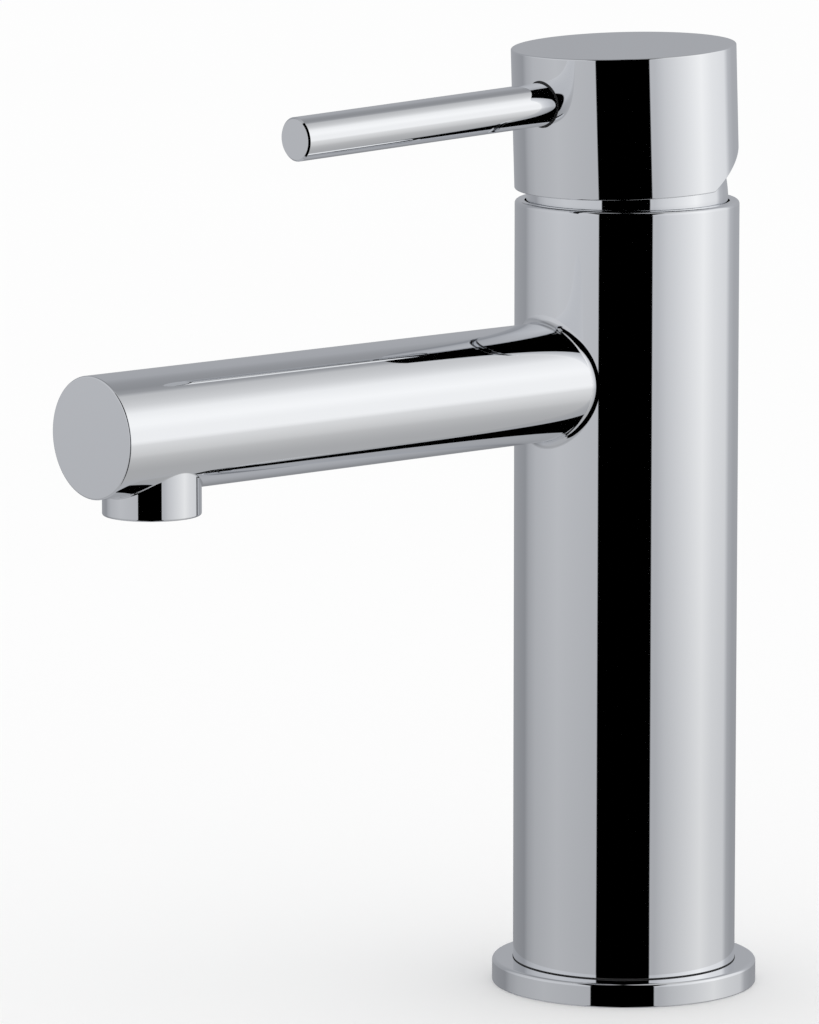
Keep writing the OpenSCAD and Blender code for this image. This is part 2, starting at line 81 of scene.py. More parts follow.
# ---------------------------------------------------------------------------
# The studio is a ring of soft grey and white panels around the tap with a dark
# gap on the camera's side, which polished chrome shows as one black stripe.
# Everything matt is lit by an even white dome.
class Wire:
    """A node's socket. Arithmetic on wires adds Math nodes to their node tree."""

    def __init__(self, tree, socket=None):
        self.tree = tree
        self.socket = socket

    def node(self, kind, settings=None, inputs=None, output=0):
        """Adds a node: its settings first, then the values or wires of its sockets."""
        made = self.tree.nodes.new(kind)
        for name, value in (settings or {}).items():
            setattr(made, name, value)
        for name, value in (inputs or {}).items():
            if isinstance(value, Wire):
                self.tree.links.new(value.socket, made.inputs[name])
            else:
                made.inputs[name].default_value = value
        return Wire(self.tree, made.outputs[output] if len(made.outputs) else None)

    def ramp(self, stops, share):
        """A ramp of greys: one stop for each (place, shade), read at a wire from 0 to 1."""
        made = self.node("ShaderNodeValToRGB", inputs={"Fac": share})
        elements = made.socket.node.color_ramp.elements
        while len(elements) < len(stops):
            elements.new(1.0)
        for element, (place, shade) in zip(elements, stops):
            element.position = place
            element.color = (shade, shade, shade, 1.0)
        return made

    def maths(self, operation, first, second=0.0):
        """One Math node on two wires or numbers."""
        return self.node("ShaderNodeMath", {"operation": operation}, {0: first, 1: second})

    def __add__(self, other):
        return self.maths("ADD", self, other)

    def __sub__(self, other):
        return self.maths("SUBTRACT", self, other)

    def __rsub__(self, other):
        return self.maths("SUBTRACT", other, self)

    def __mul__(self, other):
        return self.maths("MULTIPLY", self, other)

    def __truediv__(self, other):
        return self.maths("DIVIDE", self, other)

    __radd__ = __add__
    __rmul__ = __mul__


DOME_WHITE = 1.07
BACKDROP_WHITE = 0.985

studio = bpy.data.worlds.new("studio")
scene.world = studio
studio.use_nodes = True
studio.cycles.sampling_method = "NONE"
studio.node_tree.nodes.clear()
light = Wire(studio.node_tree)
compass = light.node("ShaderNodeTexCoord", output="Generated")
turned = light.node(
    "ShaderNodeVectorRotate",
    {"rotation_type": "Z_AXIS"},
    {"Vector": compass, "Angle": -VIEW_TURN},
)
ahead = light.node("ShaderNodeSeparateXYZ", inputs={0: turned}, output="X")
aside = light.node("ShaderNodeSeparateXYZ", inputs={0: turned}, output="Y")
above = light.node("ShaderNodeSeparateXYZ", inputs={0: turned}, output="Z")
around = light.maths("ARCTAN2", aside, ahead) / math.tau + 0.5

# Degrees around the tap from the camera's direction, and how bright the panels are there.
panels = [
    (-180, 0.40), (-154, 0.37), (-129, 0.34), (-121, 0.45), (-108, 0.54), (-76, 0.62),
    (-35, 0.57), (30, 0.56), (40, 0.67), (58, 0.80), (84, 0.98),
    (100, 0.86), (122, 0.79), (131, 0.51), (143, 0.43), (180, 0.40),
]
ring_of_panels = light.ramp([(degrees / 360 + 0.5, shade) for degrees, shade in panels], around)

# Degrees above or below the tap, and how bright the panels are at that height on each side.
rise = light.maths("ARCSINE", above) / math.pi + 0.5
heights_left = [
    (-30, 0.62), (-16, 0.74), (-12, 0.79), (-9, 0.88), (-6, 1.0), (36, 1.0), (47, 0.78), (70, 0.6),
]
heights_right = [
    (-30, 0.60), (-16, 0.74), (-11, 0.79), (-8, 0.92), (-5, 1.0), (8, 1.0), (18, 1.05), (34, 1.0),
    (43, 0.80), (50, 0.70), (70, 0.6),
]
fall_off_left = light.ramp([(degrees / 180 + 0.5, shade) for degrees, shade in heights_left], rise)
fall_off_right = light.ramp([(degrees / 180 + 0.5, shade) for degrees, shade in heights_right], rise)
right_side = light.node(
    "ShaderNodeMapRange", inputs={"Value": aside, "From Min": -0.1, "From Max": 0.1}
)
fall_off = fall_off_left * (1 - right_side) + fall_off_right * right_side

# Well below the tap, the grey table top takes over from the panels.
TABLE_GREY = 0.43
table_share = light.ramp([(0.5 - 45 / 180, 1.0), (0.5 - 25 / 180, 0.0)], rise)
surroundings = ring_of_panels * fall_off * (1 - table_share) + TABLE_GREY * table_share

# Degrees above or below the tap, and how far the dark gap reaches to each side at that height.
# Its middle is a little to one side of the camera, and its edge is soft.
gap_widths = [
    (-75, 20), (-60, 38), (-48, 38), (-36, 36), (-22, 30), (-12, 27.6), (20, 27.6),
    (36, 37), (48, 51), (60, 51), (75, 20),
]
GAP_CENTRE = -2.8
gap = light.ramp([(degrees / 180 + 0.5, width / 180) for degrees, width in gap_widths], rise)
GAP_EDGE = 0.006
beyond_gap = light.maths("ABSOLUTE", around - (0.5 + GAP_CENTRE / 360)) * 2.0 - gap
open_share = light.node(
    "ShaderNodeMapRange",
    {"interpolation_type": "SMOOTHSTEP"},
    {"Value": beyond_gap, "From Min": -GAP_EDGE / 2, "From Max": GAP_EDGE / 2},
)

# Dim panels look slightly blue and bright ones almost white. On a colour Mix node, inputs 6 and 7
# are the two colours and output 2 is their mix.
COOL_TINT = (0.95, 0.99, 1.09, 1)
WHITE_TINT = (0.995, 1.0, 1.005, 1)
cool_to_white = light.node(
    "ShaderNodeMix",
    {"data_type": "RGBA"},
    {"Factor": ring_of_panels, 6: COOL_TINT, 7: WHITE_TINT},
    output=2,
)
reflected = light.node(
    "ShaderNodeMix",
    {"data_type": "RGBA", "blend_type": "MULTIPLY"},
    {"Factor": 1.0, 6: cool_to_white, 7: surroundings * open_share},
    output=2,
)
camera_ray = light.node("ShaderNodeLightPath", output="Is Camera Ray")
diffuse_ray = light.node("ShaderNodeLightPath", output="Is Diffuse Ray")
lit = light.node(
    "ShaderNodeMix",
    {"data_type": "RGBA"},
    {"Factor": diffuse_ray, 6: reflected, 7: (DOME_WHITE, DOME_WHITE, DOME_WHITE, 1)},
    output=2,
)
seen = light.node(
    "ShaderNodeMix",
    {"data_type": "RGBA"},
    {"Factor": camera_ray, 6: lit, 7: (BACKDROP_WHITE, BACKDROP_WHITE, BACKDROP_WHITE, 1)},
    output=2,
)
glow = light.node("ShaderNodeBackground", inputs={"Color": seen})
light.node("ShaderNodeOutputWorld", inputs={"Surface": glow})


# ---------------------------------------------------------------------------
# The floor is a wide sheet of pale matt laminate. Chrome doesn't mirror it.
def finish(name, slot_name, colour, metallic, roughness, bump=None, specular=0.5):
    """A material of one Principled shader whose sockets take numbers or wires."""
    made = bpy.data.materials.new(name)
    made.use_nodes = True
    made.node_tree.nodes.clear()
    paint = Wire(made.node_tree)
    place = paint.node("ShaderNodeTexCoord", output="Object")
    sockets = {
        "Base Color": colour(paint, place),
        "Metallic": metallic,
        "Roughness": roughness(paint, place),
        "Specular IOR Level": specular,
    }
    if bump:
        height, depth = bump(paint, place)
        sockets["Normal"] = paint.node(
            "ShaderNodeBump", inputs={"Strength": 1.0, "Distance": depth, "Height": height}
        )
    surface = paint.node("ShaderNodeBsdfPrincipled", inputs=sockets)
    paint.node("ShaderNodeOutputMaterial", inputs={"Surface": surface})
    made["slot"] = slot_name
    return made


def noise(paint, place, scale, detail=2.0, stretch=(1, 1, 1)):
    """Smooth noise from 0 to 1 on a stretched copy of the coordinates."""
    spread = paint.node("ShaderNodeMapping", inputs={"Vector": place, "Scale": stretch})
    return paint.node(
        "ShaderNodeTexNoise", inputs={"Vector": spread, "Scale": scale, "Detail": detail}
    )


def blended(paint, share, first, second):
    """A colour between two others, by a wire from 0 to 1."""
    return paint.node(
        "ShaderNodeMix",
        {"data_type": "RGBA"},
        {"Factor": share, 6: (*first, 1), 7: (*second, 1)},
        output=2,
    )


def add_mesh(name, points, faces, ends=()):
    """A smooth-shaded mesh object, at the origin, from an array of points, one of four-sided faces
    and lists of the corners of any many-sided ends."""
    mesh = bpy.data.meshes.new(name)
    mesh.from_pydata(points.reshape(-1, 3), [], faces.tolist() + [list(end) for end in ends])
    mesh.polygons.foreach_set("use_smooth", np.ones(len(mesh.polygons), bool))
    mesh.update()
    piece = bpy.data.objects.new(name, mesh)
    scene.collection.objects.link(piece)
    return piece


FLOOR_HALF = 6.0
FLOOR_DROP = 0.00005
FLOOR_POINTS = 13

floor_line = np.linspace(-FLOOR_HALF, FLOOR_HALF, FLOOR_POINTS)
floor_x, floor_y = np.meshgrid(floor_line, floor_line, indexing="ij")
floor_points = np.stack([floor_x, floor_y, np.full_like(floor_x, -FLOOR_DROP)], axis=-1)


def grid_faces(rows, columns, wrap_rows=False, wrap_columns=False):
    """Four-sided faces between neighbours of a grid, closed on itself where it wraps."""
    row = np.arange(rows if wrap_rows else rows - 1)[:, None]
    column = np.arange(columns if wrap_columns else columns - 1)[None, :]
    next_row = (row + 1) % rows
    next_column = (column + 1) % columns
    corners = [row * columns + column, next_row * columns + column,
               next_row * columns + next_column, row * columns + next_column]
    return np.stack(corners, axis=-1).reshape(-1, 4)


floor = add_mesh("floor", floor_points, grid_faces(FLOOR_POINTS, FLOOR_POINTS))
floor.data.materials.append(finish(
    "pale_laminate", None,
    lambda paint, place: blended(
        paint, noise(paint, place, 3.0), (0.915, 0.915, 0.915), (0.925, 0.925, 0.925)
    ),
    0.0,
    lambda paint, place: noise(paint, place, 40.0) * 0.1 + 0.7,
    specular=0.0,
))

# The sheet is clear from below, so that the tap's underside can be seen through it.
laminate = Wire(floor.data.materials[0].node_tree)
nodes = laminate.tree.nodes
from_below = laminate.node("ShaderNodeNewGeometry", output="Backfacing")
clear = laminate.node("ShaderNodeBsdfTransparent")
top_only = laminate.node("ShaderNodeMixShader", inputs={
    0: from_below, 1: Wire(laminate.tree, nodes["Principled BSDF"].outputs[0]), 2: clear,
})
laminate.tree.links.new(top_only.socket, nodes["Material Output"].inputs["Surface"])
floor.visible_glossy = False


# ---------------------------------------------------------------------------
# The base flange is turned from brass bar, polished and chrome plated. Its top
# edge is rounded over and the body tube stands in its pocket.
def chrome_colour(paint, place):
    """Plated metal that varies by a hair between cooler and warmer patches."""
    patches = noise(paint, place, 30.0)
    return blended(paint, patches, (0.880, 0.890, 0.907), (0.893, 0.900, 0.912))


def chrome_roughness(paint, place):
    """A mirror polish with a faint haze where it was buffed and where hands touch it."""
    haze = noise(paint, place, 55.0, 3.0)
    wiping = noise(paint, place, 400.0, 2.0, (1, 1, 0.15))
    return haze * 0.018 + wiping * 0.012 + 0.012


def chrome_bump(paint, place):
    """The long, shallow waves that a buffing wheel leaves, a fraction of a micron deep."""
    waves = noise(paint, place, 90.0, 1.0, (1, 1, 0.35))
    return waves, 0.0000012


chrome = finish("mirror_chrome", "polished_chrome", chrome_colour, 1.0, chrome_roughness, chrome_bump)

ARC_STEPS = 10
SUPPORT = 0.00004
SHARP = math.radians(25)
SEATED_GAP = 0.00003


def outline(corners):
    """A line of points through (along, out, rounding) corners. Each rounded corner becomes an arc
    that touches both of its sides, with one more point just beyond each end so that the flat
    sides next to it keep their own shading. A corner whose rounding is None is kept as a point."""
    points = []
    count = len(corners)
    for index, (along, out, rounding) in enumerate(corners):
        here = np.array([along, out])
        if rounding is None:
            points.append(here)
            continue
        before = np.array(corners[index - 1][:2]) - here
        after = np.array(corners[(index + 1) % count][:2]) - here
        before_unit = before / np.linalg.norm(before)
        after_unit = after / np.linalg.norm(after)
        half_angle = math.acos(float(np.clip(before_unit @ after_unit, -1, 1))) / 2
        reach = rounding / math.tan(half_angle)
        middle = before_unit + after_unit
        centre = here + middle / np.linalg.norm(middle) * rounding / math.sin(half_angle)
        first = here + before_unit * reach
        last = here + after_unit * reach
        start = first - centre
        turn_axis = last - centre
        full = math.pi - 2 * half_angle
        steps = np.linspace(0, 1, ARC_STEPS + 1)[:, None]
        arc = (np.sin((1 - steps) * full) * start + np.sin(steps * full) * turn_axis) / math.sin(full)
        points.append(first + before_unit * SUPPORT)
        points.extend(centre + arc)
        points.append(last + after_unit * SUPPORT)
    return np.array(points)


def inside_out(points, faces):
    """Whether the volume that a shell's faces enclose comes out negative."""
    flat = points.reshape(-1, 3) - points.reshape(-1, 3).mean(axis=0)
    a, b, c, d = (flat[faces[:, k]] for k in range(4))
    return np.einsum("ij,ij->", a, np.cross(b, c)) + np.einsum("ij,ij->", a, np.cross(c, d)) < 0


def ringed_piece(name, points, hollow=True):
    """A closed shell from rings of points, (rings, points in a ring, 3). A hollow shell's last ring
    joins its first; a solid one is closed by a flat end at each of the two."""
    rings, count = points.shape[:2]
    faces = grid_faces(rings, count, wrap_rows=hollow, wrap_columns=True)
    first, last = list(range(count)), list(range((rings - 1) * count, rings * count))
    ends = [] if hollow else [first, last[::-1]]
    if inside_out(points, faces):
        faces = faces[:, ::-1]
        ends = [end[::-1] for end in ends]
    return add_mesh(name, points, faces, ends)


def turned_rings(profile, segments, centre=(0, 0), axis="z"):
    """Rings of points: a profile of (along, radius) points carried once around a line parallel
    to Z, or to X where axis says so, through the centre."""
    angle = np.linspace(0, math.tau, segments, endpoint=False)
    along = np.broadcast_to(profile[:, 0, None], (len(profile), segments))
    across = profile[:, 1, None] * np.cos(angle) + centre[0]
    beside = profile[:, 1, None] * np.sin(angle) + centre[1]
    order = [across, beside, along] if axis == "z" else [along, across, beside]
    return np.stack(order, axis=-1)


def turned_piece(name, corners, segments=256, centre=(0, 0), axis="z", hollow=True):
    """A piece turned on a lathe, from the corners of its outline."""
    return ringed_piece(name, turned_rings(outline(corners), segments, centre, axis), hollow)


def carve(piece, tool, operation="DIFFERENCE"):
    """Cuts a tool out of a piece, or joins it on, and keeps edges that come out sharp."""
    step = piece.modifiers.new("carve", "BOOLEAN")
    step.operation = operation
    step.solver = "EXACT"
    step.object = tool
    worked = piece.evaluated_get(bpy.context.evaluated_depsgraph_get())
    mesh = bpy.data.meshes.new_from_object(worked)
    piece.modifiers.clear()
    piece.data = mesh
    mesh.polygons.foreach_set("use_smooth", np.ones(len(mesh.polygons), bool))
    mesh.set_sharp_from_angle(angle=SHARP)
    bpy.data.objects.remove(tool)


def dress(piece, material, body, *nodes):
    """Gives a new piece its material, body and slot, and hides the CAD nodes it stands for."""
    piece.data.materials.clear()
    piece.data.materials.append(material)
    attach(piece, body)
    if nodes:
        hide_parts(*nodes)
    return piece


flange_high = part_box("base_flange")[1]
body_low, body_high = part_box("body_tube")
gasket_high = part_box("base_gasket")[1]
body_r = body_high.x
flange_r = flange_high.x
flange_top = flange_high.z
pocket_floor = body_low.z
hose_opening_r = 0.018
gasket_in_r = 0.020
gasket_out_r = gasket_high.x + SEATED_GAP
groove_top = 0.0012

flange = turned_piece("base_flange_polished", [
    (0, flange_r, 0.00025), (flange_top, flange_r, 0.0007),
    (flange_top, body_r + SEATED_GAP, 0.00003), (pocket_floor, body_r + SEATED_GAP, 0.00005),
    (pocket_floor, hose_opening_r, 0.0002),
    (0, hose_opening_r, 0.0003), (0, gasket_in_r, 0.00005), (groove_top, gasket_in_r, 0.00005),
    (groove_top, gasket_out_r, 0.00005), (0, gasket_out_r, 0.00005),
])
dress(flange, chrome, "body", "base_flange")


# ---------------------------------------------------------------------------
# The gasket is a flat ring cut from black rubber sheet. It fills the groove
# under the flange and seals it to the washbasin.
def rubber_colour(paint, place):
    """Carbon-black rubber with a slight bloom."""
    return blended(paint, noise(paint, place, 220.0, 4.0), (0.018, 0.018, 0.019), (0.040, 0.040, 0.041))


rubber = finish(
    "black_rubber", "seal_rubber", rubber_colour, 0.0,
    lambda paint, place: noise(paint, place, 300.0) * 0.25 + 0.55,
    lambda paint, place: (noise(paint, place, 1500.0, 3.0), 0.00003),
)


def coat(material, *nodes):
    """Puts a material on CAD nodes, in each of their material slots."""
    for node in nodes:
        for material_slot in frame["nodes"][node].material_slots:
            material_slot.material = material


coat(rubber, "base_gasket", "aerator_seal", "port_seals", "disc_seals", "dome_seal")


# ---------------------------------------------------------------------------
# The body is a drawn brass tube, faced and rounded at the top, polished along
# its length and chrome plated inside and out at the ends.
bore_r = 0.0205

nipple_low, nipple_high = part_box("spout_nipple")
nipple_z = (nipple_low.z + nipple_high.z) / 2
nipple_hole_r = 0.00623
HOLE_BAND = 0.009
BODY_SEGMENTS = 320

body = turned_piece("body_tube_polished", [
    (body_low.z, body_r, 0.0002),
    *[(nipple_z + step, body_r, None) for step in (-HOLE_BAND, 0, HOLE_BAND)],
    (body_high.z, body_r, 0.0008), (body_high.z, bore_r, 0.0003), (body_low.z, bore_r, 0.0002),
], segments=BODY_SEGMENTS)
cross_drill = turned_piece(
    "cross_drill", [(0, nipple_hole_r, None), (0.03, nipple_hole_r, None)],
    segments=96, centre=(0, nipple_z), axis="x", hollow=False,
)
carve(body, cross_drill)
dress(body, chrome, "body", "body_tube")

# A hair-thin dark ring closes the joint between the body's foot and the flange. It is painted shade: a
# black line that stands in for the shadow in the joint.
PAINTED_SHADE_LINE_R = 0.00012
painted_shade_line_angle = np.linspace(0, math.tau, 16, endpoint=False)
painted_shade_line_profile = np.stack([
    flange_top + PAINTED_SHADE_LINE_R * (0.9 + np.sin(painted_shade_line_angle)),
    body_r + PAINTED_SHADE_LINE_R * (np.cos(painted_shade_line_angle) - 0.3),
], axis=-1)
painted_shade_line = ringed_piece("foot_painted_shade_line", turned_rings(painted_shade_line_profile, BODY_SEGMENTS))
# The black rubber material on this ring paints the shadow line at the foot.
dress(painted_shade_line, rubber, "body")


# ---------------------------------------------------------------------------
# The waterway core is a machined brass casting brazed inside the body, with the
# hose ports and the stud hole in its underside. The nipple and nut are brass too.
def brass_colour(paint, place):
    """Bare brass that has dulled unevenly."""
    return blended(paint, noise(paint, place, 120.0, 4.0), (0.62, 0.45, 0.20), (0.76, 0.59, 0.30))


def brass_rings(paint, place):
    """Concentric tool marks around the body's axis."""
    marks = paint.node(
        "ShaderNodeTexWave",
        {"wave_type": "RINGS", "rings_direction": "Z"},
        {"Vector": place, "Scale": 900.0, "Distortion": 1.5, "Detail": 1.0},
        output="Fac",
    )
    return marks, 0.000006


brass = finish(
    "machined_brass", "raw_brass", brass_colour, 1.0,
    lambda paint, place: noise(paint, place, 250.0, 3.0) * 0.22 + 0.22, brass_rings,
)
coat(brass, "waterway_core", "spout_nipple", "spindle", "retaining_nut")


# ---------------------------------------------------------------------------
# The spout is a straight brass tube. Its root is coped to the body and brazed,
# and its tip is closed by a plug ground flush, so that no joint shows.
spout_low, spout_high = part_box("spout_tube")
spout_r = spout_high.y
spout_z = (spout_low.z + spout_high.z) / 2
spout_tip = spout_high.x
spout_bore_r = spout_r - 0.002
plug_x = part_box("spout_tip_plug")[0].x
SPOUT_SEGMENTS = 256
TIP_ROUNDING = 0.0003

around_spout = np.linspace(0, math.tau, SPOUT_SEGMENTS, endpoint=False)


def coped_rows(radius, shares, end):
    """Rows of a tube along X that start on the body's surface: at each angle the first point lies
    where a line parallel to X meets the body, and the others at shares of the way to the end."""
    beside = radius * np.cos(around_spout)
    root = np.sqrt(body_r ** 2 - beside ** 2)
    along = root + (end - root) * np.asarray(shares)[:, None]
    up = radius * np.sin(around_spout) + spout_z
    return np.stack(np.broadcast_arrays(along, beside, up), axis=-1)


def disc_rows(x, radii):
    """Circles of the given radii in a plane across the spout: radius times the cosine to the side,
    and radius times the sine above the spout's axis."""
    radii = np.asarray(radii)[:, None]
    beside = radii * np.cos(around_spout)
    up = radii * np.sin(around_spout) + spout_z
    return np.stack(np.broadcast_arrays(np.full_like(beside, x), beside, up), axis=-1)


def rounded_rows(x, radius, rounding):
    """Circles over a rounded edge, from the tube's wall to its end face: at each angle of the bend
    the circle is rounding * (1 - sine) short of the end and rounding * (1 - cosine) smaller."""
    bend = np.linspace(0, math.pi / 2, ARC_STEPS + 1)
    rows = [disc_rows(x - rounding + rounding * math.sin(b), [radius - rounding + rounding * math.cos(b)])
            for b in bend]
    return np.concatenate(rows)


spout_floor = disc_rows(plug_x, [spout_bore_r - SUPPORT, spout_bore_r])
spout_inside = coped_rows(spout_bore_r, np.linspace(1, 0, 40)[1:], plug_x)
spout_shares = np.concatenate([np.linspace(0, 0.76, 40), np.linspace(0.765, 0.985, 70), [1.0]])
spout_outside = coped_rows(spout_r, spout_shares, spout_tip - TIP_ROUNDING - SUPPORT)
spout_end = rounded_rows(spout_tip, spout_r, TIP_ROUNDING)
spout_face = disc_rows(spout_tip, [spout_r - TIP_ROUNDING - SUPPORT])
spout = ringed_piece("spout_polished", np.concatenate(
    [spout_floor, spout_inside, spout_outside, spout_end, spout_face]
), hollow=False)
collar_low, collar_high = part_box("outlet_collar")
collar_r = (collar_high.x - collar_low.x) / 2
outlet_x = (collar_high.x + collar_low.x) / 2
outlet_drill = turned_piece(
    "outlet_drill",
    [(collar_low.z, collar_r + SEATED_GAP, None), (spout_z, collar_r + SEATED_GAP, None)],
    segments=160, centre=(outlet_x, 0), hollow=False,
)
carve(spout, outlet_drill)
dress(spout, chrome, "body", "spout_tube", "spout_tip_plug")

# The braze around the spout's root is dressed to a smooth hollow. Its surface is the inner side
# of a ball that rolls around the joint and touches both the body and the spout.
BEND_SHARES = np.array([0, 0.01, 0.04, 0.1, 0.2, 0.3, 0.4, 0.5, 0.6, 0.7, 0.8, 0.9, 0.96, 0.99, 1.0])


def rolled_hollow(name, ball_r, ball, to_first, to_second, inner):
    """A ring that fills the corner between two surfaces. Its rings of points run over the ball,
    for each of the ball's places, from the direction of one surface to that of the other, evenly
    by angle; the last ring lies inside both pieces."""
    bend = np.arccos(np.sum(to_first * to_second, axis=-1))[:, None]
    rings = []
    for share in BEND_SHARES:
        turned_by_share = np.sin((1 - share) * bend) * to_first + np.sin(share * bend) * to_second
        rings.append(ball + ball_r * turned_by_share / np.sin(bend))
    piece = ringed_piece(name, np.stack([*rings, inner]))
    piece.data.set_sharp_from_angle(angle=SHARP)
    return piece


ROOT_BALL_R = 0.0016
INSIDE = 0.0004
side, up = np.cos(around_spout), np.sin(around_spout)
level = np.zeros_like(side)
root_ball = np.stack([
    np.sqrt((body_r + ROOT_BALL_R) ** 2 - ((spout_r + ROOT_BALL_R) * side) ** 2),
    (spout_r + ROOT_BALL_R) * side, (spout_r + ROOT_BALL_R) * up + spout_z,
], axis=-1)
root_inner = np.stack([
    np.sqrt((body_r - INSIDE) ** 2 - ((spout_r - INSIDE) * side) ** 2),
    (spout_r - INSIDE) * side, (spout_r - INSIDE) * up + spout_z,
], axis=-1)
spout_braze = rolled_hollow(
    "spout_braze", ROOT_BALL_R, root_ball,
    np.stack([level, -side, -up], axis=-1),
    np.stack([-root_ball[:, 0], -root_ball[:, 1], level], axis=-1) / (body_r + ROOT_BALL_R),
    root_inner,
)
dress(spout_braze, chrome, "body")


# ---------------------------------------------------------------------------
# The outlet collar is a chromed brass bush with the aerator screwed up inside
# it: a plastic housing, an outlet grid, steel screens and a flow regulator.
aerator_r = collar_r - 0.001245
ledge_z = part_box("aerator_seal")[1].z
ledge_r = aerator_r - 0.0012

collar = turned_piece("outlet_collar_polished", [
    (collar_low.z, collar_r, 0.0004), (collar_high.z, collar_r, 0.0002),
    (collar_high.z, ledge_r, 0.0002), (ledge_z, ledge_r, 0.0001),
    (ledge_z, aerator_r, 0.0001), (collar_low.z, aerator_r, 0.0002),
], segments=160, centre=(outlet_x, 0))
dress(collar, chrome, "body", "outlet_collar")

# The collar's braze is dressed to a hollow as well.
COLLAR_BALL_R = 0.0004
around_collar = np.linspace(0, math.tau, 200, endpoint=False)
fore, side = np.cos(around_collar), np.sin(around_collar)
level = np.zeros_like(side)
drop = np.sqrt((spout_r + COLLAR_BALL_R) ** 2 - ((collar_r + COLLAR_BALL_R) * side) ** 2)
collar_ball = np.stack([
    outlet_x + (collar_r + COLLAR_BALL_R) * fore, (collar_r + COLLAR_BALL_R) * side, spout_z - drop,
], axis=-1)
collar_inner = np.stack([
    outlet_x + (collar_r - INSIDE) * fore, (collar_r - INSIDE) * side,
    spout_z - np.sqrt((spout_r - INSIDE) ** 2 - ((collar_r - INSIDE) * side) ** 2),
], axis=-1)
collar_braze = rolled_hollow(
    "collar_braze", COLLAR_BALL_R, collar_ball,
    np.stack([-fore, -side, level], axis=-1),
    np.stack([level, -collar_ball[:, 1], drop], axis=-1) / (spout_r + COLLAR_BALL_R),
    collar_inner,
)
dress(collar_braze, chrome, "body")


def plastic(name, slot_name, darker, lighter):
    """Moulded plastic: a fine spark-eroded texture and a slight drift of colour."""
    return finish(
        name, slot_name,
        lambda paint, place: blended(paint, noise(paint, place, 90.0), darker, lighter), 0.0,
        lambda paint, place: noise(paint, place, 500.0) * 0.15 + 0.38,
        lambda paint, place: (noise(paint, place, 3000.0, 2.0), 0.00001),
    )


grey_plastic = plastic("grey_acetal", "grey_plastic", (0.46, 0.47, 0.49), (0.54, 0.55, 0.57))
white_plastic = plastic("white_acetal", "white_plastic", (0.76, 0.76, 0.74), (0.84, 0.84, 0.82))
red_plastic = plastic("red_acetal", "red_plastic", (0.55, 0.04, 0.03), (0.68, 0.06, 0.04))
steel = finish(
    "plain_steel", "plain_steel",
    lambda paint, place: blended(paint, noise(paint, place, 300.0), (0.50, 0.50, 0.52), (0.62, 0.62, 0.64)),
    1.0,
    lambda paint, place: noise(paint, place, 900.0, 2.0, (1, 1, 0.1)) * 0.2 + 0.2,
    lambda paint, place: (noise(paint, place, 2500.0, 2.0, (1, 1, 0.1)), 0.000004),
)
coat(grey_plastic, "aerator_housing", "disc_carrier", "lever_guide")
coat(white_plastic, "aerator_outlet_grid", "aerator_flow_regulator", "cartridge_base", "cartridge_housing")
coat(red_plastic, "temperature_limit_ring")
coat(steel, "aerator_screens", "pivot_pin", "lever_grub_screw")


# ---------------------------------------------------------------------------
# The two ceramic discs are pressed and sintered alumina, lapped flat on the
# faces that slide on each other.
ceramic = finish(
    "lapped_alumina", "ceramic",
    lambda paint, place: blended(
        paint, noise(paint, place, 800.0, 4.0), (0.86, 0.84, 0.78), (0.92, 0.90, 0.85)
    ),
    0.0,
    lambda paint, place: noise(paint, place, 1200.0) * 0.12 + 0.12,
    lambda paint, place: (noise(paint, place, 4000.0, 2.0), 0.000002),
)
coat(ceramic, "fixed_ceramic_disc", "moving_ceramic_disc")


# ---------------------------------------------------------------------------
# The dome cover is a spun and polished brass shell, part of a ball centred on
# the lever's pivot, so that the gap under the cap looks closed at every tilt.
pivot = Vector(frame["joints"][1]["pos_m"])
dome_low, dome_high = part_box("dome_cover")
DOME_R = 0.0202
DOME_WALL = 0.0018

dome_in_r = DOME_R - DOME_WALL


def ball_arc(radius, low, high, steps):
    """Points of an arc around the pivot, (height, distance from the axis), between two heights."""
    angle = np.linspace(math.asin((low - pivot.z) / radius), math.asin((high - pivot.z) / radius), steps)
    return np.stack([pivot.z + radius * np.sin(angle), radius * np.cos(angle)], axis=-1)


dome_profile = np.concatenate([
    ball_arc(DOME_R, dome_low.z, dome_high.z, 40), ball_arc(dome_in_r, dome_high.z, dome_low.z, 20),
])
dome = ringed_piece("dome_cover_polished", turned_rings(dome_profile, 256))
dome.data.set_sharp_from_angle(angle=SHARP)
dress(dome, chrome, "body", "dome_cover")


# ---------------------------------------------------------------------------
# The handle cap is machined from brass bar: a cup with a relief cut across the
# back of its mouth, so that it clears the body when the lever is lifted. It
# leans a little towards the spout when the tap is closed.
LEAN = math.radians(2.16)
cap_r = body_r
cap_bore_r = 0.0206
cap_z = body_high.z + 0.0029
cap_top_z = cap_z + 0.028
cap_plate_z = cap_top_z - 0.003
relief_x = -0.0034
relief_climb = math.tan(math.radians(29))
lever_r = 0.004315
lever_z = cap_top_z - 0.00945
lever_floor_x = cap_bore_r - 0.0011
lever_hole_r = lever_r + 0.00035
thread_r = 0.003
socket_half = 0.00405
boss_z = pivot.z + 0.015
boss_r = 0.007
arm_r = lever_r + 0.0022


def leaning(piece):
    """Tips a piece, made upright, to the lean that the handle has when the tap is closed."""
    mesh = piece.data
    points = np.empty(len(mesh.vertices) * 3)
    mesh.vertices.foreach_get("co", points)
    points = points.reshape(-1, 3) - np.array(pivot)
    tip = np.array([[math.cos(LEAN), 0, math.sin(LEAN)], [0, 1, 0], [-math.sin(LEAN), 0, math.cos(LEAN)]])
    mesh.vertices.foreach_set("co", (points @ tip.T + np.array(pivot)).ravel())
    mesh.update()


CAP_SEGMENTS = 400
LEVER_BAND = 0.0065
cap_angle = np.linspace(0, math.tau, CAP_SEGMENTS, endpoint=False)


def mouth(radius, angle):
    """Height of the cap's mouth: level at the front, and along the sloping relief at the back."""
    return cap_z + max(0.0, relief_x - radius * math.cos(angle)) * relief_climb


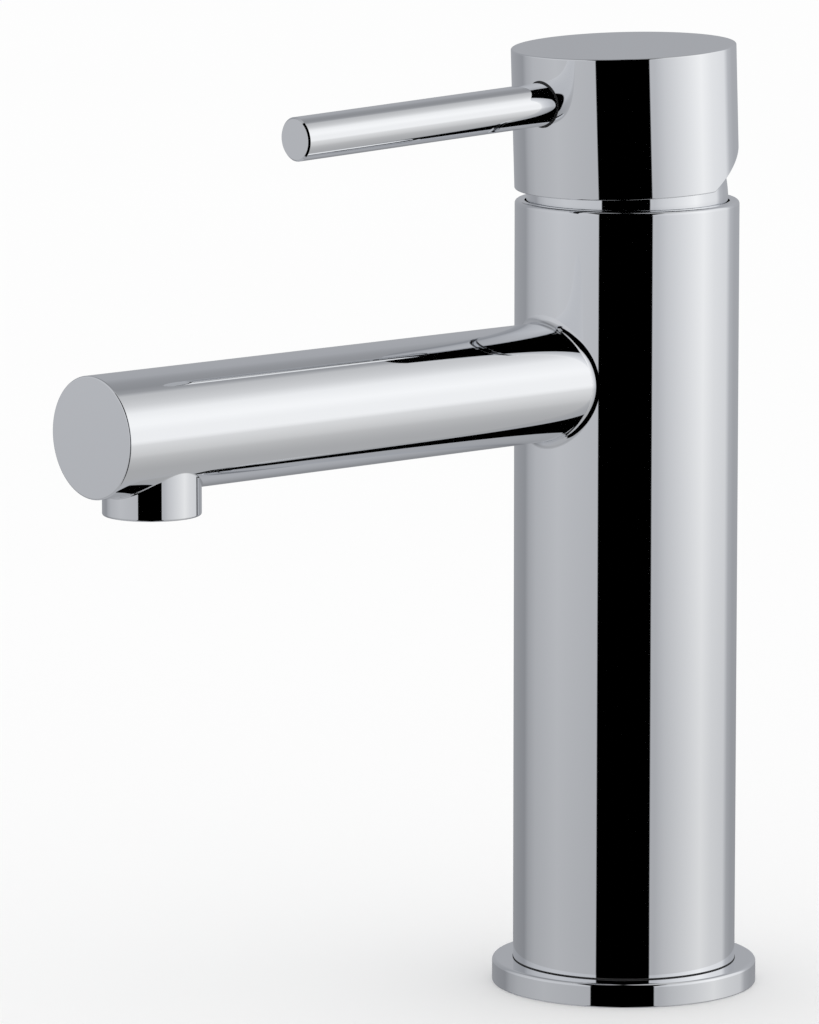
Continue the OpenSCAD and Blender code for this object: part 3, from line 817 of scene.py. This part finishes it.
cap_profiles = np.array([outline([
    (cap_plate_z, cap_bore_r - 0.001, None), (cap_plate_z, cap_bore_r, 0.0005),
    (mouth(cap_bore_r, angle), cap_bore_r, 0.00015), (mouth(cap_r, angle), cap_r, 0.0002),
    *[(lever_z + step, cap_r, None) for step in np.linspace(-LEVER_BAND, LEVER_BAND, 36)],
    (cap_top_z, cap_r, 0.0003), (cap_top_z, cap_r - 0.001, None),
]) for angle in cap_angle])
cap_rings = np.stack([
    (cap_profiles[:, :, 1] * np.cos(cap_angle)[:, None]).T,
    (cap_profiles[:, :, 1] * np.sin(cap_angle)[:, None]).T,
    cap_profiles[:, :, 0].T,
], axis=-1)
cap = ringed_piece("handle_cap_polished", cap_rings, hollow=False)

# Inside the cap, a boss takes the spindle and an arm carries the lever's thread.
ROOT = 0.001
boss = turned_piece(
    "boss", [(boss_z, boss_r, None), (cap_plate_z + ROOT, boss_r, None)], 96, hollow=False
)
carve(cap, boss, "UNION")
arm = turned_piece(
    "arm", [(0, arm_r, None), (cap_bore_r + 0.0004, arm_r, None)],
    96, (0, lever_z), "x", hollow=False,
)
carve(cap, arm, "UNION")
socket_profile = np.array([[boss_z - ROOT, 1], [lever_z + thread_r + 0.0007, 1]])
socket_rings = turned_rings(socket_profile, 4)
corner = np.array([[1, 1], [-1, 1], [-1, -1], [1, -1]]) * socket_half
socket_rings[..., :2] = corner
carve(cap, ringed_piece("socket", socket_rings, hollow=False))
carve(cap, turned_piece(
    "thread_drill", [(0, thread_r + SEATED_GAP, None), (cap_r, thread_r + SEATED_GAP, None)],
    64, (0, lever_z), "x", hollow=False,
))

# The lever's hole has its edge broken all the way around, along the curve of the cap.
RIM = 0.00003
around_hole = np.linspace(0, math.tau, 128, endpoint=False)
hole_y = lever_hole_r * np.cos(around_hole)
saddle = np.sqrt(cap_r ** 2 - hole_y ** 2)
hole_rings = np.stack([
    np.stack([along, radius * np.cos(around_hole), lever_z + radius * np.sin(around_hole)], axis=-1)
    for along, radius in [
        (np.full_like(saddle, lever_floor_x), lever_hole_r), (saddle - RIM, lever_hole_r),
        (saddle + RIM, lever_hole_r + 2 * RIM), (saddle + 0.003, lever_hole_r + 2 * RIM),
    ]
])
carve(cap, ringed_piece("lever_hole", hole_rings, hollow=False))
leaning(cap)
dress(cap, chrome, "handle", "handle_cap")

# A rubber ring, set just below the cap's surface, keeps water out of the gap around the lever.
RING_DEPTH = 0.0002
RING_WIDTH = 0.0009
RING_PLAY = 0.00001
ring_outer_end = saddle - RING_DEPTH
ring_inner_end = saddle - RING_DEPTH - RING_WIDTH
lever_ring = ringed_piece("lever_hole_ring", np.stack([
    np.stack([along, radius * np.cos(around_hole), lever_z + radius * np.sin(around_hole)], axis=-1)
    for along, radius in [
        (ring_inner_end, lever_hole_r - RING_PLAY), (ring_outer_end, lever_hole_r - RING_PLAY),
        (ring_outer_end, lever_r + RING_PLAY), (ring_inner_end, lever_r + RING_PLAY),
    ]
]))
lever_ring.data.set_sharp_from_angle(angle=SHARP)
leaning(lever_ring)
dress(lever_ring, rubber, "handle")


# ---------------------------------------------------------------------------
# The pin lever is a ground and plated rod with a fine chamfer at its tip. Its
# threaded tail screws into the arm in the cap, as far as the floor of the hole.
lever_tip_x = 0.0862
tail_x = 0.01105
CHAMFER = 0.00035
shoulder_x = lever_floor_x + 0.00002

lever = turned_piece("pin_lever_polished", [
    (tail_x, thread_r - 0.001, None), (tail_x, thread_r, 0.0003),
    (shoulder_x, thread_r, 0.00005), (shoulder_x, lever_r, 0.0001),
    (lever_tip_x - CHAMFER, lever_r, 0.00005), (lever_tip_x, lever_r - CHAMFER, 0.00005),
    (lever_tip_x, lever_r - 0.0012, None),
], 160, (0, lever_z), "x", hollow=False)
leaning(lever)
dress(lever, chrome, "handle", "pin_lever")
